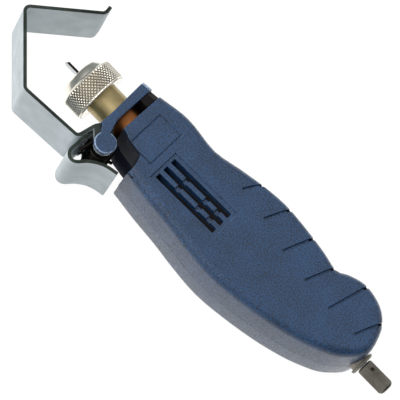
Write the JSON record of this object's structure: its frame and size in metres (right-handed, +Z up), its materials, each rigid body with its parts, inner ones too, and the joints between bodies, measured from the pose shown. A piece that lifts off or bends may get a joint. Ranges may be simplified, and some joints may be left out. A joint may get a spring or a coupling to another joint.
{
  "type": "cable slitting tool",
  "caption": "Hand tool with a moulded handle, a sprung steel hook that pulls a cable onto a small turning blade, and a knurled cap that sets the cutting depth.",
  "frame": {"origin": "on the flat back face of the handle, straight below the blade shaft, near the middle of the handle", "axes": "+X along the blade shaft from the tail knob to the hook, +Y towards the thumb lever side, +Z up from the resting face"},
  "size_m": [0.1644, 0.0473, 0.022],
  "materials": {
    "blue_plastic": "moulded, fine matt grain",
    "blue_plastic_plate": "moulded, fine matt grain",
    "black_plastic": "moulded, matt",
    "zinc_steel": "zinc plated",
    "brass": "turned, slightly dull",
    "bright_steel": "ground",
    "black_steel": "black oxide",
    "dark_steel": "phosphated, dull",
    "spring_steel": "drawn wire",
    "blade_steel": "ground",
    "strip_steel": "satin rolled strip",
    "nickel": "nickel plated, bright"
  },
  "bodies": {
    "handle": {"front_shell": "blue_plastic", "back_shell": "blue_plastic", "shell_screws": "zinc_steel", "nose_plate": "blue_plastic_plate", "nose_spacer": "black_plastic", "brass_bush": "brass", "hinge_pin": "bright_steel", "hinge_sleeve": "bright_steel", "torsion_spring": "black_steel", "rear_bush": "dark_steel", "detent_ball": "bright_steel", "detent_spring": "spring_steel"},
    "blade_holder": {"blade_shaft": "bright_steel", "blade": "blade_steel", "blade_screw": "black_steel", "index_collar": "bright_steel", "shaft_spring": "spring_steel", "rear_knob": "dark_steel", "knob_pin": "zinc_steel"},
    "hook": {"hook_arm": "strip_steel", "thumb_lever": "strip_steel", "hook_rivets": "zinc_steel"},
    "depth_ring": {"detent_ring": "spring_steel"},
    "depth_cap": {"knurled_cap": "nickel", "cap_retainer": "nickel"}
  },
  "joints": [
    {"name": "hook_open", "type": "hinge", "parent": "handle", "child": "hook", "pos_m": [0.0514, 0.0147, 0.011], "axis": [0, 0, 1], "range_deg": [0, 45], "stiffness_Nm_per_rad": 0.35, "springref_deg": -34.38, "deforming": ["torsion_spring"]},
    {"name": "blade_turn", "type": "hinge", "parent": "handle", "child": "blade_holder", "pos_m": [0, 0, 0.011], "axis": [1, 0, 0], "range_deg": [0, 90]},
    {"name": "cap_travel", "type": "slide", "parent": "handle", "child": "depth_ring", "axis": [1, 0, 0], "range_m": [-0.0005, 0.0045]},
    {"name": "cap_turn", "type": "hinge", "parent": "depth_ring", "child": "depth_cap", "pos_m": [0.069, 0, 0.011], "axis": [1, 0, 0], "range_deg": [-205, 1645]}
  ],
  "couplings": [
    {"joint": "cap_turn", "follows": "cap_travel", "rad_per_m": 6283.2}
  ]
}
